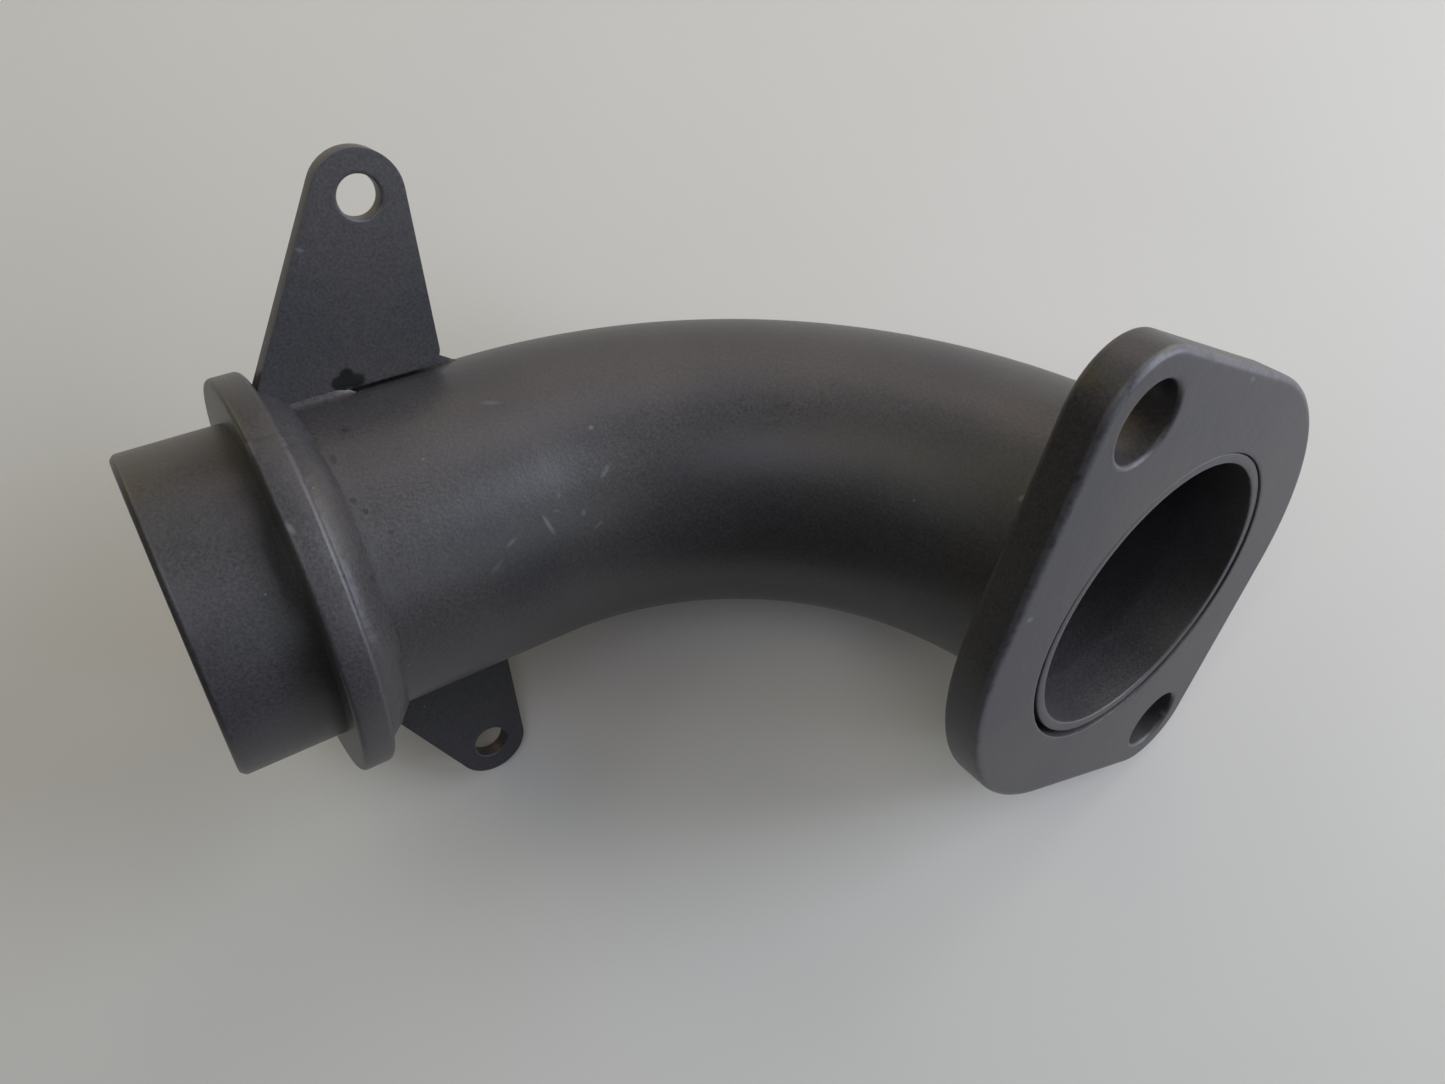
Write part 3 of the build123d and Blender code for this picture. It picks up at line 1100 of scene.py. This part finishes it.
@dataclass
class Lug:
    """One mounting lug with its front and back welds."""

    side: Side
    collar_back: float = -34.5
    tube_radius: float = 25.4
    thick: float = 3.2
    roll: float = 8.0
    offset: float = 5.6
    gap: float = 0.5
    foot_length: float = 29.1
    lean_start: float = -1.6
    tip_setback: float = 22.3
    tip_reach: float = 28.2
    tip_radius: float = 6.9
    hole_radius: float = 3.25
    corner: float = 2.5
    edge: float = 0.45
    hole_edge: float = 0.3
    # The rims' paler colour is worn paint and a painted highlight.
    rim_wear_and_highlight: float = 0.55
    hole_wear: float = 0.5
    shading_strip: float = 0.3
    front_weld: float = 15.6
    back_weld: float = 33.2
    front_legs: tuple[float, float] = (0.7, 2.4)
    back_legs: tuple[float, float] = (2.2, 2.8)
    front_fade: float = 3.2
    back_fade: float = 6.5
    hollow: float = 0.1
    weld_points: int = 20
    weld_step: float = 0.4
    ripple: float = 1.6
    front_ripple: float = 0.012
    back_ripple: float = 0.04
    # How the bead runs out: two for a blunt end, near one for a wedge.
    front_droop: float = 2.0
    back_droop: float = 1.2
    least: float = 0.06
    drift: float = 0.06
    # The beads start this far inside the collar weld, and reach this far into the tube.
    overlap: float = 1.0
    buried: float = 0.4
    sink: float = 0.12
    toe: float = 0.25

    @property
    def place(self) -> Matrix:
        """From the lug's flat frame to its place on the tube."""
        way = self.side.value
        stand = Matrix(((1, 0, 0, 0), (0, 0, -way, self.offset), (0, way, 0, 0), (0, 0, 0, 1)))
        return Matrix.Rotation(math.radians(-self.roll), 4, "X") @ stand

    @property
    def tip(self) -> Vector:
        """The centre of the rounded tip and its hole."""
        return Vector((self.collar_back + self.tip_setback, self.tube_radius + self.tip_reach))

    def _lean(self, run: float) -> float:
        """Angle of a side to the foot for a foot corner that far from the tip centre."""
        reach = math.hypot(run, self.tip_reach)
        tangent = math.sqrt(reach**2 - self.tip_radius**2)
        return math.acos(run / reach) + math.acos(tangent / reach)

    def build(self, material: Material) -> Object:
        """Cut, drill and ease the plate.

        Args:
            material: the lug's finish.

        Returns:
            The finished lug.
        """
        plate = Plate()
        self._draw(plate)
        plate.hole(self.tip.x, self.tip.y, self.hole_radius, 40)
        plate.thicken(self.thick)
        bmesh.ops.translate(plate.bm, verts=plate.bm.verts[:], vec=(0, 0, self.thick / 2))
        holes = ring_corners(plate, self.tip, self.hole_radius, 0.03)
        plate.ease(holes, self.hole_edge, 3, self.hole_wear)
        rim = [edge for edge in plate.corners(60) if abs(edge.verts[0].co.z - edge.verts[1].co.z) < 0.1]
        rim = [edge for edge in rim if (edge.verts[0].co.to_2d() - self.tip).length > self.hole_radius + 1]
        plate.ease(rim, self.edge, 4, self.rim_wear_and_highlight)
        plate.support(self.shading_strip)
        name = f"{self.side.name.lower()}_lug"
        return plate.finish(name + "_plate", material, Slot.LUG, (name,), LAID @ self.place)

    def _draw(self, plate: Plate) -> None:
        """Draw the outline: heel, leaning sides, round tip and rounded foot corner."""
        foot = self.tube_radius + self.gap
        foot_end = Vector((self.collar_back + self.foot_length, foot))
        lean = self._lean(self.tip.x - self.collar_back - self.lean_start)
        rise = self._lean(foot_end.x - self.tip.x)
        heel = Vector((self.collar_back, self.tube_radius - self.lean_start * math.tan(lean)))
        outline = Outline(plate.bm)
        outline.point(heel.x, heel.y)
        outline.point(self.collar_back, foot)
        run = self.corner / math.tan(rise / 2)
        centre = foot_end + Vector((-run, self.corner))
        outline.arc(centre, foot_end + Vector((-run, 0)), math.pi - rise, 8)
        tip_start = self.tip + polar(self.tip_radius, math.pi / 2 - rise)
        outline.arc(self.tip, tip_start, rise + lean, 32)
        outline.close()

    def _surface(self, across: float) -> float:
        """Height of the tube's surface at a distance across the plate's middle."""
        centre = self.offset * self.side.value
        return math.sqrt(self.tube_radius**2 - (across - centre) ** 2)

    def weld(self, front: bool, material: Material) -> Object:
        """Run one fillet along the foot, from the collar to its end.

        Args:
            front: true for the side with the short weld.
            material: the weld's finish.

        Returns:
            The finished weld.
        """
        work = Workpiece()
        face = self.side.value if front else -self.side.value
        length = self.front_weld if front else self.back_weld
        height, width = self.front_legs if front else self.back_legs
        fade_run = self.front_fade if front else self.back_fade
        droop = self.front_droop if front else self.back_droop
        depth = self.front_ripple if front else self.back_ripple
        bmesh.ops.create_circle(work.bm, cap_ends=False, segments=self.weld_points, radius=1.0)
        ring = work.bm.verts[:]
        stations = round(length / self.weld_step)
        for step in range(stations + 1):
            if step:
                ring = extrude_ring(work.bm, ring)
            along = length * step / stations
            spent = max(0.0, (along - length + fade_run) / fade_run)
            fade = 1 - spent**droop
            wander = noise.noise(Vector((along * 0.3, face * 2.3, self.side.value * 1.7)))
            size = max(self.least, fade) * (1 + self.drift * wander)
            beat = depth * math.cos(along * 2 * math.pi / self.ripple)
            points = self._section(face, height + beat, width + beat, size)
            for vert, (y, z) in zip(ring, points):
                vert.co = Vector((self.collar_back - self.overlap + along, y, z))
                vert[work.marks[Mark.TOE]] = self.toe
        bmesh.ops.holes_fill(work.bm, edges=work.bm.edges[:], sides=0)
        name = f"{self.side.name.lower()}_lug"
        where = "front" if front else "back"
        node = f"{name}_{where}_weld"
        return work.finish(f"{name}_{where}_bead", material, Slot.WELD, (node,), LAID @ self.place, 60)

    def _section(self, face: int, height: float, width: float, size: float) -> list[tuple[float, float]]:
        """Section of a lug fillet as (outward, across) points in the lug's frame.

        Args:
            face: plus or minus one, the side of the plate.
            height: how far it climbs the plate.
            width: how far it runs out on the tube.
            size: one for the full bead, less where it fades into the tube.

        Returns:
            The closed section, from the toe on the plate over the face of the bead.
        """
        wall = face * self.thick / 2
        foot = self.tube_radius + self.gap
        root = self._surface(wall)
        out = wall + face * width * size
        top = Vector((root + (foot + height - root) * size, wall - face * self.sink))
        toe = Vector((self._surface(out) - self.sink, out))
        corner = Vector((root, wall))
        pull = corner + (top - corner) * self.hollow + (toe - corner) * self.hollow
        outer = self.weld_points - 3
        points = []
        for step in range(outer):
            t = step / (outer - 1)
            spot = top * (1 - t) ** 2 + pull * 2 * t * (1 - t) + toe * t**2
            points.append((spot.x, spot.y))
        under = (wall + out) / 2
        points.append((self._surface(under) - self.buried, under))
        points.append((root - self.buried, wall))
        points.append((root - self.buried, wall - face * self.buried))
        return points


def extrude_ring(bm: BMesh, ring: list[BMVert]) -> list[BMVert]:
    """Extrude a closed ring of points and keep their order.

    Args:
        bm: the mesh.
        ring: the ring's points in order.

    Returns:
        The new ring, in the same order.
    """
    members = set(ring)
    edges = [e for v in ring for e in v.link_edges if set(e.verts) <= members]
    grown = bmesh.ops.extrude_edge_only(bm, edges=list(set(edges)))
    fresh = {item for item in grown["geom"] if isinstance(item, BMVert)}
    return [next(e.other_vert(v) for e in v.link_edges if e.other_vert(v) in fresh) for v in ring]


# --- studio -----------------------------------------------------------------


@dataclass(frozen=True)
class Lamp:
    """A soft square lamp on a dome round the elbow; angles in degrees, power in watts."""

    name: str
    azimuth: float
    elevation: float
    power: float
    colour: str
    distance: float = 1.15
    size: float = 0.54

    def toward(self) -> Vector:
        """Direction from the elbow to the lamp."""
        turn, rise = math.radians(self.azimuth), math.radians(self.elevation)
        flat = math.cos(rise)
        return Vector((flat * math.cos(turn), flat * math.sin(turn), math.sin(rise)))


@dataclass
class Studio:
    """Pale bench top, soft lamps and the camera."""

    camera_place: tuple[float, float, float] = (0.00559, -0.01721, 0.22079)
    camera_right: tuple[float, float, float] = (0.9994, 0.0, -0.0352)
    camera_look: tuple[float, float, float] = (-0.0351, 0.0622, -0.9974)
    lens: float = 26.67
    sensor: float = 36.0
    floor_size: float = 3.0
    world_colour: str = "#9A9A9C"
    world_strength: float = 0.02
    middle: tuple[float, float, float] = (0.0, 0.0, 0.04)
    lamps: tuple[Lamp, ...] = field(
        default_factory=lambda: (
            Lamp("window_low", 0.0, 12.0, 5.31, "#E5E9FF"),
            Lamp("window_high", 22.5, 32.0, 6.04, "#E8F2FF"),
            Lamp("window_front", 337.5, 32.0, 0.99, "#EDF8FF"),
            Lamp("corner", 45.0, 12.0, 2.34, "#FFEFD2"),
            Lamp("back_wall", 67.5, 32.0, 1.91, "#FFF6FB"),
            Lamp("back_wall_low", 90.0, 12.0, 1.14, "#FFEBDF"),
            Lamp("back_wall_left", 112.5, 32.0, 0.60, "#F3FFEE"),
            Lamp("left_corner", 135.0, 54.0, 0.80, "#FFF6E8"),
            Lamp("left_corner_high", 135.0, 74.0, 0.64, "#FFFFCB"),
            Lamp("left_corner_low", 135.0, 12.0, 1.12, "#FFDE79"),
            Lamp("left_wall", 180.0, 54.0, 0.60, "#EEFFFF"),
            Lamp("right_high", 315.0, 74.0, 0.37, "#E3FFF8"),
            Lamp("ceiling", 0.0, 90.0, 1.35, "#F0E4FF"),
        )
    )

    def build(self) -> None:
        """Set up the floor, lamps, world and camera."""
        self._floor()
        for lamp in self.lamps:
            self._lamp(lamp)
        self._world()
        self._camera()
        bpy.context.scene.view_settings.view_transform = "Standard"

    def _floor(self) -> None:
        """Lay the bench top."""
        bm = bmesh.new()
        bmesh.ops.create_grid(bm, x_segments=1, y_segments=1, size=self.floor_size / 2)
        mesh = bpy.data.meshes.new("bench_top")
        bm.to_mesh(mesh)
        bm.free()
        mesh.materials.append(BenchTop().build())
        floor = bpy.data.objects.new("bench_top", mesh)
        bpy.context.scene.collection.objects.link(floor)

    def _lamp(self, lamp: Lamp) -> None:
        """Hang one lamp, facing the elbow."""
        light = bpy.data.lights.new(lamp.name, "AREA")
        light.shape = "SQUARE"
        light.size = lamp.size
        light.energy = lamp.power
        light.color = linear(lamp.colour)[:3]
        holder = bpy.data.objects.new(lamp.name, light)
        holder.location = Vector(self.middle) + lamp.toward() * lamp.distance
        holder.rotation_euler = (-lamp.toward()).to_track_quat("-Z", "Y").to_euler()
        bpy.context.scene.collection.objects.link(holder)

    def _world(self) -> None:
        """Keep the room itself dark, so that only the lamps light the elbow."""
        world = bpy.data.worlds.new("room")
        world.use_nodes = True
        tree = world.node_tree
        tree.nodes.clear()
        sky = add_node(tree, "ShaderNodeBackground")
        sky.inputs["Color"].default_value = linear(self.world_colour)
        sky.inputs["Strength"].default_value = self.world_strength
        add_node(tree, "ShaderNodeOutputWorld", {"Surface": sky.outputs["Background"]})
        bpy.context.scene.world = world

    def _camera(self) -> None:
        """Look down on the elbow from just above it."""
        camera = bpy.data.cameras.new("camera")
        camera.lens = self.lens
        camera.sensor_width = self.sensor
        camera.clip_start = 0.005
        holder = bpy.data.objects.new("camera", camera)
        look = Vector(self.camera_look).normalized()
        right = Vector(self.camera_right).normalized()
        up = right.cross(look)
        turn = Matrix((right, up, -look)).transposed().to_4x4()
        holder.matrix_world = Matrix.Translation(self.camera_place) @ turn
        bpy.context.scene.collection.objects.link(holder)
        bpy.context.scene.camera = holder


def main() -> None:
    """Build the elbow's pieces in order, then the studio."""
    logging.basicConfig(level=logging.INFO, format="%(name)s %(message)s")
    tube_paint = StovePaint(
        "stove_paint_sprayed_on_tube", scratches=TUBE_SCRATCHES, pinholes=TOE_PINHOLES + LUG_CRATER
    )
    flange_paint = StovePaint("stove_paint_sprayed_on_flange", roughness=0.39, scratches=FLANGE_CHIPS)
    collar_paint = StovePaint("stove_paint_sprayed_on_collar", scratches=COLLAR_NICKS)
    lug_paint = StovePaint(
        "stove_paint_sprayed_on_lugs", roughness=0.39, scratches=LUG_CHIPS, pinholes=LUG_CRATER
    )
    weld_paint = StovePaint(
        "stove_paint_sprayed_on_welds", grain_depth=0.06, pinholes=TOE_PINHOLES + LUG_CRATER
    )
    tube = BentTube()
    tube.build(tube_paint.build())
    weld_material = weld_paint.build()
    flange = BoltFlange()
    flange.build(tube, flange_paint.build())
    flange.weld(tube, weld_material)
    collar = Collar()
    collar.build(collar_paint.build())
    collar.seam(weld_material)
    collar.weld(weld_material)
    lug_material = lug_paint.build()
    for side in Side:
        lug = Lug(side)
        lug.build(lug_material)
        for front in (True, False):
            lug.weld(front, weld_material)
    Studio().build()


if __name__ == "__main__":
    main()
